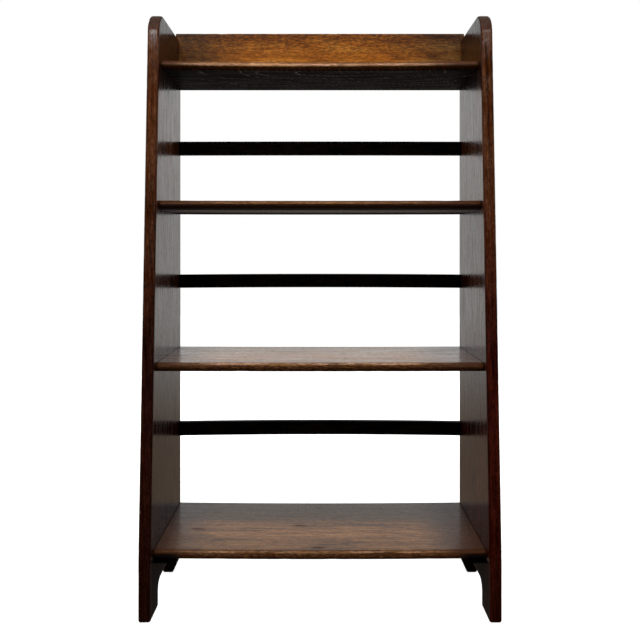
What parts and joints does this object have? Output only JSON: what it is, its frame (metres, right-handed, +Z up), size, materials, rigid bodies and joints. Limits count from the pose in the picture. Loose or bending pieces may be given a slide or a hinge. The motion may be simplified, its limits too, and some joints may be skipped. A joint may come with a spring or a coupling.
{
  "type": "open-front bookcase",
  "caption": "Free-standing stained-oak bookcase, open front and back: tapered solid sides on bracket feet carry housed, nosed shelves, a gallery board and narrow back rails.",
  "frame": {"origin": "middle of the base on the floor, under the centre of the overall box", "axes": "+Z up from the floor, -Y towards the front of the bookcase, +X to its right when seen from the front"},
  "size_m": [0.649, 0.281, 1.1285],
  "materials": {
    "oak_side": "dark stained oak, polished",
    "oak_shelf": "dark stained oak, polished",
    "oak_gallery": "mid-brown stained oak, polished",
    "dark_rail": "near-black stained oak, satin",
    "oak_pin": "dark stained oak, end grain flush with the side",
    "oak_dowel": "bare oak dowel, hidden"
  },
  "bodies": {
    "root": {"side_left": "oak_side", "side_right": "oak_side", "shelf_bottom": "oak_shelf", "shelf_middle": "oak_shelf", "shelf_upper": "oak_shelf", "shelf_top": "oak_shelf", "gallery_board": "oak_gallery", "back_rail_lower": "dark_rail", "back_rail_middle": "dark_rail", "back_rail_upper": "dark_rail", "shelf_pins_left": "oak_pin", "shelf_pins_right": "oak_pin", "gallery_dowels": "oak_dowel"}
  },
  "joints": []
}
